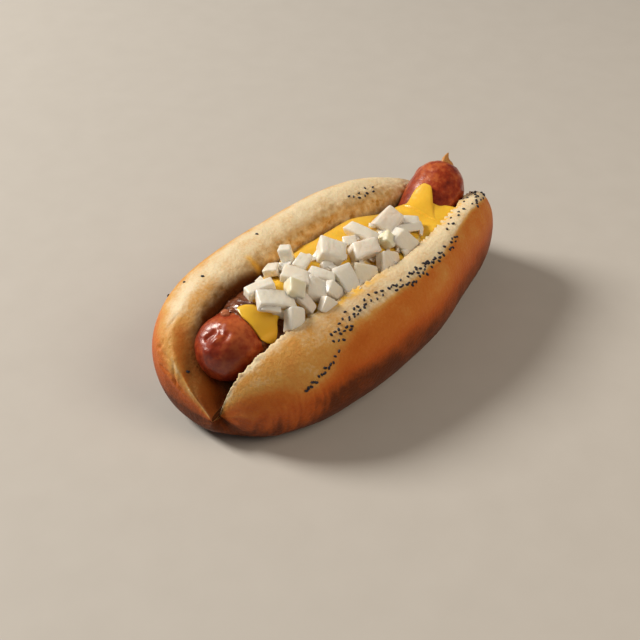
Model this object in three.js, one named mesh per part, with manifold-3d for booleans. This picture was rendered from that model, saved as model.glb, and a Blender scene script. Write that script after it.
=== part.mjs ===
// A dressed hot dog: a seeded bun, opened along its top, holds a thick frankfurter that
// is covered with meat sauce, melted cheese sauce and a heap of diced raw onion.
//
// Millimetres. +X runs along the bun from its closed end to the end where the frankfurter
// rides up and sticks out, +Y points to the taller half of the bun, and +Z is up.
// The origin is on the flat underside of the bun, half way along it.
import * as THREE from "three";
import { mergeVertices } from "three/addons/utils/BufferGeometryUtils.js";
import Module from "manifold-3d";

const wasm = await Module();
wasm.setup();

// The bun
const BUN_LENGTH = 172;
const BUN_HALF = BUN_LENGTH / 2;
const HINGE_Y = -5; // the line along which the two halves still hang together
const TIP_Z = 13; // height of the two ends of the loaf
const GROOVE_Z = 19; // floor of the groove that holds the frankfurter
const GROOVE_RISE = 7; // how much higher that floor is at the far end
const SETTLE = 1.5; // how far the crumb has settled into a flat underside
const BUN_STATIONS = 34;
const BUN_AROUND = 2; // points for each control point of a cross-section

// Each half at five places along the bun, before its ends are rounded: [x, inner edge y,
// outermost y, height of the rim, and the heights of the torn inner edge, of the crest and
// of the shoulder as shares of it]
const LOW_HALF = [
  [-86, -11, -34, 43, 1, 0.93, 0.7],
  [-42, -15, -43, 44, 1, 0.95, 0.74],
  [8, -23, -46, 45, 0.99, 0.97, 0.79],
  [50, -20, -39, 45, 0.96, 1, 0.84],
  [86, -16, -36, 49, 0.94, 1, 0.85],
];
const TALL_HALF = [
  [-86, 13, 43, 45, 0.94, 1, 0.85],
  [-42, 14, 46, 48, 0.94, 1, 0.85],
  [8, 14, 42, 49, 0.94, 1, 0.85],
  [50, 7, 38, 48, 0.94, 1, 0.85],
  [86, 4, 30, 44, 0.94, 1, 0.85],
];
const LEAN = [-84, -64]; // the near end of the tall half's cut face leans out over this stretch
const SET_BACK = 4.5; // how far the near end of the low half lies behind that of the tall half
const SET_BACK_END = -56;

// The frankfurter
const FRANK_RADIUS = 13.1;
const FRANK_TAPER = 0.6; // how much thinner it is at the far end
const FRANK_START = [-65.5, 3.5, 31]; // centre of its round near end
const FRANK_END = [68.6, -4.1, 39.2]; // centre of its round far end
const FRANK_SPAN = FRANK_END[0] - FRANK_START[0];
const FRANK_SAG = 1.5; // how far its middle hangs below its near end
const FRANK_TURN_UP = 6; // the higher, the nearer to the far end it starts to rise
// Short of the far end it dips toward the low half: middle and reach of the dip along X
const DIP_AT = 42;
const DIP_REACH = 16;
const DIP_ASIDE = 4;
const DIP_DEPTH = 7;
const PUCKER = 1.8; // depth of the pucker where the casing was tied at the near end
const PUCKER_TOWARD = [-0.6, 0.15, 0.79]; // its direction from the centre of that end
const PUCKER_WIDTH = 0.45; // its reach, as an angle in radians
const WISP_AT = [76.4, -3.4, 47.6]; // foot and tip of the wisp of casing at the far end
const WISP_TIP = [79.5, -2.6, 52.2];
const WISP_RADIUS = 1.8;
const NUB_AT = [-62, 7.3, 43.3]; // a small wet nub on the near end
const NUB_RADIUS = 2;
const SKIN_GAP = 0.35; // clearance between one food and the next

// The dressing is laid out round the frankfurter, in degrees from straight up: negative
// toward the low half, positive toward the tall half.
const MEAT_DEPTH = 1.6; // of meat sauce over the top of the frankfurter
// [x, its level against the low half, its level against the tall half]
const MEAT_LEVELS = [
  [-60, 28, 30],
  [-50, 36, 38],
  [-20, 39, 39],
  [20, 39, 34],
  [36, 40, 28],
  [50, 40, 28],
];
const MEAT_REACH = 27; // the most that it reaches from the centre of the frankfurter
const MEAT_SUNK = 24; // it reaches down past the frankfurter, to the floor of the groove
const MEAT_EDGES = [
  [-60, -120, 110],
  [24, -120, 110],
  [36, -120, 50],
  [44, -120, 30],
  [48, -120, 0],
  [52, -120, -36],
];
const CHEESE_DEPTH = 2.4;
// [x, edge toward the low half, edge toward the tall half] of the cheese and of the narrow
// peak that runs on up the far end of the frankfurter
const CHEESE_EDGES = [
  [-60, -60, -10],
  [-58, -72, 6],
  [-55.5, -76, 2],
  [-53.5, -66, -8],
  [-51, -50, -16],
  [-47.5, -46, -10],
  [-43, -50, 12],
  [-37, -68, 30],
  [-30, -74, 42],
  [0, -76, 70],
  [20, -78, 68],
  [27, -78, 62],
  [36, -78, 58],
  [44, -78, 44],
  [47.5, -78, 23],
  [50, -78, 14],
  [52, -78, -10],
  [54, -78, -38],
  [56.5, -78, -52],
  [58, -78, -64],
];
const PEAK_EDGES = [
  [44, -46, 20],
  [50, -36, 18],
  [54, -25, 16],
  [56.5, -18, 11],
  [58.2, -12, 0],
];
const HEAP_DEPTH = 1.6; // of the onion that lies under the pieces that show
const HEAP_EDGES = [
  [-52, -38, 2],
  [-44, -62, 12],
  [-36, -68, 20],
  [-24, -70, 26],
  [-12, -68, 0],
  [4, -68, -6],
  [20, -66, -9],
  [34, -45, -18],
];
// The pieces that show: [x, angle, length, width, thickness, turn in degrees]
const DICE = [
  [-48.5, -5, 13, 5, 4, -25],
  [-33.5, -15, 11, 7, 4, -60],
  [-26, 13, 6, 5, 8, 40],
  [-36.5, 8, 7, 6, 4, 30],
  [-25.5, -6, 8, 6, 4, 10],
  [-12.5, -17, 10, 10, 7, 38],
  [0, -36, 12, 8, 7, -25],
  [-17, -51, 11.5, 8, 5, 84],
  [-39.5, -30, 7, 7, 6, -52],
  [-31, -42, 9, 9, 5, -52],
  [-49, -24, 15, 8, 3, -35],
  [-38.5, -46, 10, 5, 4, 95],
  [-47.5, -55, 9, 8, 5, 60],
  [-24, -57, 12, 6, 3, -52],
  [-32.5, -62, 9, 6, 4, -50],
  [-24.5, -32, 11, 5, 4, -55],
  [-7.5, -56, 11, 9, 5, -40],
  [-53, -32, 8, 3, 2.5, -45],
  [7, -17, 13, 5, 4, -75],
  [22.5, -20, 13, 9, 5, 5],
  [27, -36, 14, 4, 4, -22],
  [13.5, -42, 6, 6, 6, 20],
  [19.5, -54.5, 14, 8, 5, -70],
  [-1, -17, 6, 4, 3, -40],
  [5.5, -60, 13, 8, 4, -30],
  [32.5, -26, 8, 5, 3, -40],
];
const DICE_SKEW = 0.12; // how far a piece's corners stray, as a share of its size
const DICE_TILT = 11; // the most that a piece leans, in degrees

// Poppy seeds, in stretches: [how many, from x, to x, from turn, to turn, spread of the turn]
// A turn runs round the bun's cross-section, as bunPoint says.
const SEED_RADIUS = 0.9;
const SEED_STRETCHES = [
  [13, -64, -47, 0.282, 0.257, 0.003],
  [22, -45, -26, 0.241, 0.21, 0.012],
  [10, -26, -11, 0.208, 0.213, 0.008],
  [34, -9, 16, 0.219, 0.23, 0.012],
  [12, 14, 26, 0.232, 0.236, 0.009],
  [9, 28, 40, 0.238, 0.238, 0.008],
  [7, 38, 58, 0.202, 0.197, 0.012],
  [18, 62, 79, 0.212, 0.212, 0.03],
  [9, 30, 46, 0.822, 0.812, 0.014],
  [3, -62, -48, 0.715, 0.79, 0.01],
  [1, -18, -17, 0.78, 0.78, 0],
  [1, -83, -82, 0.833, 0.833, 0],
];

const clamp = (v, low, high) => Math.min(high, Math.max(low, v));
const mix = (a, b, t) => a + (b - a) * t;
const smooth = (a, b, v) => THREE.MathUtils.smoothstep(v, a, b);
const smoothMax = (a, b, soft) => 0.5 * (a + b + Math.hypot(a - b, soft));
const radians = THREE.MathUtils.degToRad;
const range = (count) => Array.from({ length: count }, (_, i) => i);

// Repeatable random numbers from 0 to 1.
function randomSource(seed) {
  let state = seed;
  return () => {
    state = (Math.imul(state, 1664525) + 1013904223) >>> 0;
    return state / 2 ** 32;
  };
}

// Value of one column of a table at x, on a smooth curve through its rows.
function along(table, column, x) {
  const last = table.length - 1;
  const above = table.findIndex((row) => row[0] > x);
  const i = above < 0 ? last - 1 : Math.max(0, above - 1);
  const at = (k) => table[clamp(k, 0, last)];
  const slope = (k) =>
    (at(k + 1)[column] - at(k - 1)[column]) / (at(k + 1)[0] - at(k - 1)[0]);
  const width = at(i + 1)[0] - at(i)[0];
  const t = clamp((x - at(i)[0]) / width, 0, 1);
  const [a, b] = [at(i)[column], at(i + 1)[column]];
  const [m, n] = [slope(i) * width, slope(i + 1) * width];
  return a + t * (m + t * (3 * (b - a) - 2 * m - n + t * (m + n - 2 * (b - a))));
}

// Rounds the end of the loaf: 1 in the middle and 0 at the tips, blunter as the power grows.
function endRound(x, nearPower, farPower) {
  const u = clamp(x / BUN_HALF, -1, 1);
  const p = u < 0 ? nearPower : farPower;
  return (1 - Math.abs(u) ** p) ** (1 / p);
}

const grooveFloor = (x) => GROOVE_Z + GROOVE_RISE * smooth(25, 80, x);

// Control points of one half, from the groove's floor up the cut face, over the rim and
// down the crust to the underside. Lean turns the cut face into a slope that rises from the
// hinge to the crest. The whole half shrinks toward the tip by its rounding.
function halfOutline(table, x, round, lean) {
  const columns = range(6).map((i) => along(table, i + 1, x));
  const [inner, outer, rim, edge, crest, shoulder] = columns;
  const floor = grooveFloor(x);
  const width = outer - inner;
  const top = inner + 0.5 * width;
  const face = (upright, share) => mix(upright, mix(HINGE_Y, top, share), lean);
  const points = [
    [face(mix(HINGE_Y, inner, 0.7), 0.15), mix(floor, rim, mix(0.2, 0.15, lean))],
    [face(inner, 0.36), mix(floor, rim, mix(0.62, 0.42, lean))],
    [face(inner + 0.12 * width, 0.64), rim * mix(edge, 0.8, lean)],
    [top, rim * crest],
    [inner + 0.88 * width, rim * shoulder],
    [outer, rim * 0.5],
    [mix(HINGE_Y, outer, 0.88), rim * 0.17],
    [mix(HINGE_Y, outer, 0.6), 0],
  ];
  return points.map(([y, z]) => [mix(HINGE_Y, y, round), mix(TIP_Z, z, round)]);
}

// The closed curve of one cross-section of the bun, through its control points.
function bunCurve(x) {
  const low = endRound(x, 3.4, 4.5);
  const tall = endRound(x, 4.4, 3);
  const middle = (low + tall) / 2;
  const lean = 1 - smooth(...LEAN, x);
  const setBack = SET_BACK * (1 - smooth(-BUN_HALF, SET_BACK_END, x));
  const outline = [
    [x, HINGE_Y, mix(TIP_Z, grooveFloor(x), middle)],
    ...halfOutline(LOW_HALF, x, low, 0).map(([y, z]) => [x + setBack, y, z]),
    [x, HINGE_Y, mix(TIP_Z, 0, middle)],
    ...halfOutline(TALL_HALF, x, tall, lean).map(([y, z]) => [x, y, z]).reverse(),
  ];
  const points = outline.map((point) => new THREE.Vector3(...point));
  return new THREE.CatmullRomCurve3(points, true, "centripetal");
}

// A point on the skin of the bun. The turn runs from 0 at the groove's floor over the low
// half and 0.5 at the underside to the tall half.
function bunPoint(curve, turn) {
  const point = curve.getPoint(turn);
  point.z = Math.max(0, point.z - SETTLE);
  return point;
}

// One ring of the bun, its skin moved out by grow.
function bunRing(x, grow) {
  const curve = bunCurve(x);
  const count = curve.points.length * BUN_AROUND;
  return range(count).map((i) => {
    const point = bunPoint(curve, i / count);
    const ahead = bunPoint(curve, ((i + 0.5) / count) % 1);
    const behind = bunPoint(curve, ((i - 0.5 + count) / count) % 1);
    const run = ahead.sub(behind).setX(0).normalize();
    return [point.x, point.y + grow * run.z, point.z - grow * run.y];
  });
}

// Joins rings of points into a closed skin with a fan at either end.
function loft(rings, firstTip, lastTip) {
  const around = rings[0].length;
  const points = [...rings.flat(), firstTip, lastTip];
  const first = points.length - 2;
  const last = points.length - 1;
  const end = (rings.length - 1) * around;
  const faces = [];
  for (const j of range(around)) {
    const k = (j + 1) % around;
    faces.push([first, k, j]);
    for (const i of range(rings.length - 1)) {
      const a = i * around;
      const b = a + around;
      faces.push([a + j, a + k, b + k], [a + j, b + k, b + j]);
    }
    faces.push([last, end + j, end + k]);
  }
  const geometry = new THREE.BufferGeometry();
  geometry.setAttribute("position", new THREE.Float32BufferAttribute(points.flat(), 3));
  geometry.setIndex(faces.flat());
  return geometry;
}

// A solid for joining and cutting, from a closed geometry.
function solid(geometry) {
  return new wasm.Manifold(
    new wasm.Mesh({
      numProp: 3,
      vertProperties: Float32Array.from(geometry.attributes.position.array),
      triVerts: Uint32Array.from(geometry.index.array),
    }),
  );
}

// The largest single body of a cut solid, as a geometry.
function largestBody(cut) {
  const bodies = cut.decompose().sort((a, b) => b.volume() - a.volume());
  const { vertProperties, triVerts, numProp } = bodies[0].getMesh();
  const points = [];
  for (let i = 0; i < vertProperties.length; i += numProp) {
    points.push(vertProperties[i], vertProperties[i + 1], vertProperties[i + 2]);
  }
  const geometry = new THREE.BufferGeometry();
  geometry.setAttribute("position", new THREE.Float32BufferAttribute(points, 3));
  geometry.setIndex(Array.from(triVerts));
  return geometry;
}

function bunSkin(grow = 0) {
  const reach = BUN_HALF + grow;
  const rings = range(BUN_STATIONS).map((i) =>
    bunRing(-BUN_HALF * Math.cos((Math.PI * (i + 1)) / (BUN_STATIONS + 1)), grow),
  );
  const tip = (x) => [x, HINGE_Y, TIP_Z - SETTLE];
  return loft(rings, tip(-reach), tip(reach));
}

// Centre and radius of the frankfurter at x.
function frankAt(x) {
  const t = (x - FRANK_START[0]) / FRANK_SPAN;
  const s = clamp(t, 0, 1);
  const sag = FRANK_SAG * Math.sin(Math.PI * s);
  const dip = Math.exp(-(((x - DIP_AT) / DIP_REACH) ** 2));
  return {
    y: mix(FRANK_START[1], FRANK_END[1], s) - DIP_ASIDE * dip,
    z: mix(FRANK_START[2], FRANK_END[2], s ** FRANK_TURN_UP) - sag - DIP_DEPTH * dip,
    radius: FRANK_RADIUS - FRANK_TAPER * s,
    past: Math.max(0, -t, t - 1) * FRANK_SPAN,
  };
}

function frankSkin(grow = 0, stations = 28, around = 20) {
  const reach = FRANK_SPAN / 2 + FRANK_RADIUS;
  const middle = (FRANK_START[0] + FRANK_END[0]) / 2;
  const rings = range(stations).map((i) => {
    const x = middle - reach * Math.cos((Math.PI * (i + 1)) / (stations + 1));
    const { y, z, radius, past } = frankAt(x);
    const round = radius * Math.sqrt(1 - (past / FRANK_RADIUS) ** 2) + grow;
    return range(around).map((j) => {
      const a = (-2 * Math.PI * j) / around;
      return pucker([x, y + round * Math.sin(a), z + round * Math.cos(a)]);
    });
  });
  return loft(
    rings,
    [middle - reach - grow, FRANK_START[1], FRANK_START[2]],
    [middle + reach + grow, FRANK_END[1], FRANK_END[2]],
  );
}

// Draws a point of the near end in toward its centre, the more the closer it is to the tie.
function pucker(point) {
  const centre = new THREE.Vector3(...FRANK_START);
  const out = new THREE.Vector3(...point).sub(centre);
  const off = out.angleTo(new THREE.Vector3(...PUCKER_TOWARD)) / PUCKER_WIDTH;
  const depth = PUCKER * Math.exp(-(off ** 2));
  return out.setLength(out.length() - depth).add(centre).toArray();
}

// The wisp of casing that stands up from the far end.
function wisp() {
  const foot = new THREE.Vector3(...WISP_AT);
  const run = new THREE.Vector3(...WISP_TIP).sub(foot);
  const cone = bare(new THREE.ConeGeometry(WISP_RADIUS, 1, 6));
  cone.translate(0, 0.5, 0).scale(1, run.length(), 1);
  const up = new THREE.Vector3(0, 1, 0);
  cone.applyQuaternion(new THREE.Quaternion().setFromUnitVectors(up, run.normalize()));
  return cone.translate(...foot.toArray());
}

// A plain form with one point at each corner, fit for joining and cutting.
function bare(geometry) {
  return mergeVertices(geometry.deleteAttribute("uv").deleteAttribute("normal"));
}

// The nub on the near end, its skin moved out by grow.
function nub(grow = 0) {
  return bare(new THREE.IcosahedronGeometry(NUB_RADIUS + grow, 1)).translate(...NUB_AT);
}

// Distance from the frankfurter's centre line to the top of the dressing, at an angle from
// straight up. The dressing fills the groove to its level and arches over the frankfurter.
function dressing(x, angle, lift) {
  const { z, radius } = frankAt(x);
  const [start, end] = [MEAT_LEVELS[0][0], MEAT_LEVELS[MEAT_LEVELS.length - 1][0]];
  const ends = smooth(start, start + 8, x) * (1 - smooth(end - 8, end, x));
  const side = smooth(-60, 60, angle);
  const level = mix(along(MEAT_LEVELS, 1, x), along(MEAT_LEVELS, 2, x), side);
  const short = Math.sin(0.42 * x + 0.06 * angle);
  const long = Math.sin(0.23 * x - 0.1 * angle);
  const upward = Math.max(0.28, Math.cos(radians(angle)));
  const filled = Math.min(MEAT_REACH, (level + 0.5 * short + 0.4 * long - z) / upward);
  return smoothMax(radius + MEAT_DEPTH * ends, filled, 2.5) + lift;
}

// A point of the dressing at x, an angle and a lift above the meat sauce.
function dressingPoint(x, angle, lift) {
  const { y, z } = frankAt(x);
  const reach = dressing(x, angle, lift);
  const turn = radians(angle);
  return [x, y + reach * Math.sin(turn), z + reach * Math.cos(turn)];
}

// A layer of the dressing, between two angles that change along the bun. Its top stands at
// lift over the meat sauce, its edges thin out, and its underside is sunk below that level.
// Its two ends thin out over a longer stretch as taper falls. Room grows it on all sides.
function layer({ edges, lift, sunk, stations, across, taper = 4 }, room = 0) {
  const start = edges[0][0];
  const end = edges[edges.length - 1][0];
  const spread = THREE.MathUtils.radToDeg((1.5 * room) / FRANK_RADIUS);
  const rings = range(stations).map((i) => {
    const share = 0.5 - 0.5 * Math.cos((Math.PI * (i + 0.6)) / (stations + 0.2));
    const x = mix(start, end, share);
    const [low, tall] = [along(edges, 1, x), along(edges, 2, x)];
    const thin = Math.min(1, taper * Math.sqrt(share * (1 - share)));
    const spots = range(across).map((j) => {
      const share = j / (across - 1);
      return { angle: mix(low, tall, share), lens: Math.sqrt(1 - Math.abs(2 * share - 1) ** 4) };
    });
    if (room > 0) {
      spots.unshift({ angle: low - spread, lens: 0 });
      spots.push({ angle: tall + spread, lens: 0 });
    }
    const upper = spots.map(({ angle, lens }) =>
      dressingPoint(x, angle, lift * mix(0.3, 1, thin * lens) + room),
    );
    const lower = spots.map(({ angle }) => dressingPoint(x, angle, -sunk - room));
    return [...lower, ...upper.reverse()];
  });
  const tip = (ring, x) => {
    const sum = ring.reduce(([a, b], [, y, z]) => [a + y, b + z], [0, 0]);
    return [x, sum[0] / ring.length, sum[1] / ring.length];
  };
  const past = 0.1 + room;
  return loft(rings, tip(rings[0], start - past), tip(rings[stations - 1], end + past));
}

// A piece of diced onion, a little out of square, lying at its place on the dressing.
function dice([x, angle, length, width, thickness, turn], lift, random) {
  const box = bare(new THREE.BoxGeometry(1, 1, 1));
  const corners = box.attributes.position;
  const stray = () => (2 * random() - 1) * DICE_SKEW;
  const tilt = () => radians((2 * random() - 1) * DICE_TILT);
  for (const i of range(corners.count)) {
    const [cx, cy, cz] = [corners.getX(i), corners.getY(i), corners.getZ(i)];
    corners.setXYZ(i, cx + stray(), cy + stray(), cz + stray());
  }
  box.scale(length, width, thickness).rotateZ(radians(turn));
  box.rotateX(tilt()).rotateY(tilt()).rotateX(radians(-angle));
  const [, y, z] = dressingPoint(x, angle, lift + 0.3 * thickness);
  return box.translate(x, y, z);
}

// Poppy seeds by a seeded rule, each half sunk in the skin of the bun.
function seeds() {
  const random = randomSource(7);
  return SEED_STRETCHES.flatMap(([count, startX, endX, startTurn, endTurn, spread]) =>
    range(count).map((i) => {
      const share = (i + 0.2 + 0.6 * random()) / count;
      const turn = mix(startTurn, endTurn, share) + spread * (2 * random() - 1);
      const curve = bunCurve(mix(startX, endX, share));
      const { x, y, z } = bunPoint(curve, turn);
      const seed = bare(new THREE.OctahedronGeometry(SEED_RADIUS, 0));
      return solid(seed.translate(x, y, z));
    }),
  );
}

function mesh(name, geometry, color, roughness) {
  geometry.computeVertexNormals();
  const material = new THREE.MeshStandardMaterial({ color, roughness, metalness: 0 });
  const made = new THREE.Mesh(geometry, material);
  made.name = name;
  return made;
}

// Room that each layer leaves for the ones it touches.
const roomForBun = solid(bunSkin(SKIN_GAP));
const roomForFrank = solid(frankSkin(SKIN_GAP)).add(solid(nub(SKIN_GAP)));
const cheeseLift = SKIN_GAP + CHEESE_DEPTH;
const heapLift = cheeseLift + SKIN_GAP + HEAP_DEPTH;
const meatLayer = { edges: MEAT_EDGES, lift: 0, sunk: MEAT_SUNK, stations: 22, across: 15 };
const pourLayer = { edges: CHEESE_EDGES, lift: cheeseLift, sunk: 1, stations: 40, across: 11, taper: 2.2 };
const peakLayer = { edges: PEAK_EDGES, lift: cheeseLift, sunk: 1, stations: 8, across: 7 };
const heapLayer = { edges: HEAP_EDGES, lift: heapLift, sunk: 1, stations: 12, across: 8 };
const meatBlock = (room) => solid(layer(meatLayer, room));
const cheeseBlock = (room) => solid(layer(pourLayer, room)).add(solid(layer(peakLayer, room)));

const bun = wasm.Manifold.union([solid(bunSkin()), ...seeds()]).subtract(roomForFrank);
const frank = wasm.Manifold.union([frankSkin(), wisp(), nub()].map(solid));
const meat = meatBlock(0).subtract(roomForBun).subtract(roomForFrank);
const cheese = cheeseBlock(0)
  .subtract(meatBlock(SKIN_GAP))
  .subtract(roomForBun)
  .subtract(roomForFrank);
const random = randomSource(11);
const pieces = DICE.map((piece) => solid(dice(piece, heapLift, random)));
const onion = wasm.Manifold.union([solid(layer(heapLayer)), ...pieces])
  .subtract(cheeseBlock(SKIN_GAP))
  .subtract(meatBlock(SKIN_GAP))
  .subtract(roomForBun)
  .subtract(roomForFrank);

const hotDog = new THREE.Group();
hotDog.add(
  mesh("bun", largestBody(bun), 0xc98a4b, 0.75),
  mesh("frankfurter", largestBody(frank), 0x9a3b22, 0.35),
  mesh("meat_sauce", largestBody(meat), 0x5a2c17, 0.5),
  mesh("cheese_sauce", largestBody(cheese), 0xe8a41c, 0.35),
  mesh("diced_onion", largestBody(onion), 0xe8e2d2, 0.35),
);

export default hotDog;
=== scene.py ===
# %% [markdown]
# # A dressed hot dog
# The object is a soft, seeded bun, opened along its top. In its groove lies a thick
# frankfurter under meat sauce, melted cheese sauce and a heap of diced raw onion.
# The plain solids of each food come first, as the frame. This lesson lays a detailed
# piece over each of them: the same form and size, with the skin, crumb, gloss and
# small shapes that real food has.

# %% The frame and the tools
import math

import bmesh
import bpy
import numpy as np
from mathutils import Matrix, Vector, noise


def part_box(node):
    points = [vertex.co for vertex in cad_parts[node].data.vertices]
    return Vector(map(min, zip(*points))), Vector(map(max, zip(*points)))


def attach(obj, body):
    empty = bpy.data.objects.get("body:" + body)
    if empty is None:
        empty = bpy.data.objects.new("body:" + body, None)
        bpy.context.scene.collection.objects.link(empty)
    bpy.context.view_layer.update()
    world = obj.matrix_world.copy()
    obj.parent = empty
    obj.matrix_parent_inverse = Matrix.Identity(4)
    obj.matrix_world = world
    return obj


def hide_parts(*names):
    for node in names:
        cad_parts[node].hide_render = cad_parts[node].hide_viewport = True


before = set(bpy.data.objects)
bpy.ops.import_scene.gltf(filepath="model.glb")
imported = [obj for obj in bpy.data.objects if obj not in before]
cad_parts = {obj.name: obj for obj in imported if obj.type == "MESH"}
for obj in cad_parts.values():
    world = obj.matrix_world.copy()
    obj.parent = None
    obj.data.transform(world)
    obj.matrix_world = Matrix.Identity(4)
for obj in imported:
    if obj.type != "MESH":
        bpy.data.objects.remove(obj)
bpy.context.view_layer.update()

print("nodes in the frame:", sorted(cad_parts))

# %% [markdown]
# ## The camera and the light
# The camera looks down at 39 degrees along the length of the bun, as in the photograph.
# A lens can be placed by eye, but here its place and direction are known as numbers, so
# the camera's own axes are written straight into its matrix. The floor is plain and pale.
# One large soft lamp stands at the left like a window, a little behind the bun, so that
# the shade falls to the right as in the photograph. A weak warm lamp at the right stands
# for the light that comes back from the surroundings, and a weak pale world fills the rest.
# The warm lamp isn't mirrored in wet surfaces, since it has no real thing behind it.

# %% Camera
FORWARD = Vector((0.615, 0.475, -0.629)).normalized()
RIGHT = FORWARD.cross(Vector((0, 0, 1))).normalized()
UPWARD = RIGHT.cross(FORWARD)


def placed(name, data):
    """A new object of the scene, at the origin."""
    made = bpy.data.objects.new(name, data)
    bpy.context.scene.collection.objects.link(made)
    return made


camera = placed("camera", bpy.data.cameras.new("camera"))
camera.matrix_world = Matrix.Translation((-0.29745, -0.22035, 0.30401)) @ Matrix(
    (RIGHT, UPWARD, -FORWARD)
).transposed().to_4x4()
camera.data.sensor_width = 36
camera.data.lens = 61.4
camera.data.clip_start = 0.01
bpy.context.scene.camera = camera
print("camera looks along", [round(v, 3) for v in FORWARD])

# %% Floor, lamps and world
FLOOR_REACH = 1.5
MIDDLE = Vector((0, 0, 0.03))
LEVEL_FORWARD = Vector((FORWARD.x, FORWARD.y, 0)).normalized()
UP = Vector((0, 0, 1))


def lamp(name, toward, distance, size, power, colour):
    """A round soft lamp that shines on the middle of the object from a direction."""
    data = bpy.data.lights.new(name, "AREA")
    data.shape = "DISK"
    data.size = size
    data.energy = power
    data.color = colour
    made = placed(name, data)
    made.location = MIDDLE + toward.normalized() * distance
    made.rotation_euler = toward.to_track_quat("Z", "Y").to_euler()
    return made


floor_mesh = bpy.data.meshes.new("floor")
floor_square = np.array([(-1, -1, 0), (1, -1, 0), (1, 1, 0), (-1, 1, 0)])
floor_mesh.from_pydata((floor_square * FLOOR_REACH).tolist(), [], [range(4)])
floor = placed("floor", floor_mesh)

window_from = -0.8 * RIGHT + 0.3 * LEVEL_FORWARD + 0.62 * UP
lamp("window", window_from, distance=1.7, size=0.6, power=34, colour=(1, 0.95, 0.87))
glow_from = 0.8 * RIGHT - 0.3 * LEVEL_FORWARD + 0.8 * UP
reflector = lamp("reflector", glow_from, distance=1.1, size=0.8, power=5.5, colour=(1, 0.86, 0.7))
reflector.visible_glossy = False

world = bpy.data.worlds.new("room")
world.use_nodes = True
world.node_tree.nodes["Background"].inputs["Color"].default_value = (1, 0.93, 0.86, 1)
world.node_tree.nodes["Background"].inputs["Strength"].default_value = 0.12
bpy.context.scene.world = world
bpy.context.scene.view_settings.view_transform = "Standard"

# %% [markdown]
# ## Helpers for shapes
# The forms are written in millimetres, with the bun along X and its taller half toward
# +Y, and a mesh is made in metres at the end. Each form is a table of a few sizes along
# the bun, with a smooth curve between its rows. NumPy works all points of a grid out at
# once, which keeps a grid of a hundred thousand points quick.

# %% Curves through tables, and soft steps
MM = 0.001


def mixed(a, b, share):
    return a + (b - a) * share


def eased(low, high, value):
    t = np.clip((value - low) / (high - low), 0, 1)
    return t * t * (3 - 2 * t)


def soft_max(a, b, soft):
    return 0.5 * (a + b + np.hypot(a - b, soft))


def along(table, column, x):
    """One column of a table whose rows start with x, on a smooth curve through its rows."""
    rows = np.asarray(table, float)
    places, values = rows[:, 0], rows[:, column]
    slopes = np.empty(len(rows))
    slopes[1:-1] = (values[2:] - values[:-2]) / (places[2:] - places[:-2])
    slopes[0] = (values[1] - values[0]) / (places[1] - places[0])
    slopes[-1] = (values[-1] - values[-2]) / (places[-1] - places[-2])
    i = np.clip(np.searchsorted(places, x, side="right") - 1, 0, len(rows) - 2)
    width = places[i + 1] - places[i]
    t = np.clip((x - places[i]) / width, 0, 1)
    m, n = slopes[i] * width, slopes[i + 1] * width
    a, b = values[i], values[i + 1]
    return a + t * (m + t * (3 * (b - a) - 2 * m - n + t * (m + n - 2 * (b - a))))


def bell(value, centre, width):
    return np.exp(-(((value - centre) / width) ** 2))


# %% Faces of a grid of points
def tube_faces(rings, around):
    """Quads between closed rings of points, and a fan from each end ring to its tip."""
    i, j = np.meshgrid(np.arange(rings - 1), np.arange(around), indexing="ij")
    k = (j + 1) % around
    a, b = i * around, (i + 1) * around
    quads = np.stack([a + j, a + k, b + k, b + j], -1).reshape(-1, 4).tolist()
    first, last, end = rings * around, rings * around + 1, (rings - 1) * around
    fans = [(first, (n + 1) % around, n) for n in range(around)]
    fans += [(last, end + n, end + (n + 1) % around) for n in range(around)]
    return quads + fans


# %% Closed meshes that point outwards
def closed_volume(points, faces):
    total = 0.0
    for face in faces:
        a = points[face[0]]
        for b, c in zip(face[1:-1], face[2:]):
            total += np.dot(a, np.cross(points[b], points[c]))
    return total / 6


def solid_mesh(name, points, faces):
    """A smooth closed mesh, its points given in mm, with its faces turned outwards."""
    if closed_volume(points, faces[:: max(1, len(faces) // 4000)]) < 0:
        faces = [tuple(reversed(face)) for face in faces]
    mesh = bpy.data.meshes.new(name)
    mesh.from_pydata((points * MM).tolist(), [], faces)
    mesh.shade_smooth()
    return mesh


def outward(mesh):
    normals = np.empty(len(mesh.vertices) * 3, np.float32)
    mesh.vertex_normals.foreach_get("vector", normals)
    return normals.reshape(-1, 3)


# %% Relief
def move_points(mesh, points):
    mesh.vertices.foreach_set("co", (points * MM).astype(np.float32).ravel())
    mesh.update()


def raise_skin(mesh, points, heights):
    """Puts a mesh's points, given in mm, at their heights over its smooth form."""
    move_points(mesh, points + outward(mesh) * heights[:, None])


def relief(points, size, octaves=3, seed=0):
    """Smooth random heights, about -1 to 1, with lumps of about that size in mm."""
    shift = Vector((13.7 * seed, 5.1 * seed, -7.9 * seed))
    inverse = 1 / size
    return np.array(
        [noise.fractal(Vector(p) * inverse + shift, 1.0, 2.0, octaves) for p in points.tolist()]
    )


def pits(points, size, seed=0):
    """Round hollows, 1 at the middle of each and 0 between them."""
    shift = Vector((3.3 * seed, -8.7 * seed, 2.9 * seed))
    inverse = 1 / size
    near = np.array([noise.voronoi(Vector(p) * inverse + shift)[0][0] for p in points.tolist()])
    return 1 - eased(0.05, 0.5, near)


def from_line(points, line):
    """Distance from each point to a line through a few places."""
    nearest = np.full(len(points), np.inf)
    for start, end in zip(np.array(line[:-1], float), np.array(line[1:], float)):
        run = end - start
        share = np.clip((points - start) @ run / (run @ run), 0, 1)
        nearest = np.minimum(nearest, np.linalg.norm(points - start - share[:, None] * run, axis=1))
    return nearest


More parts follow.
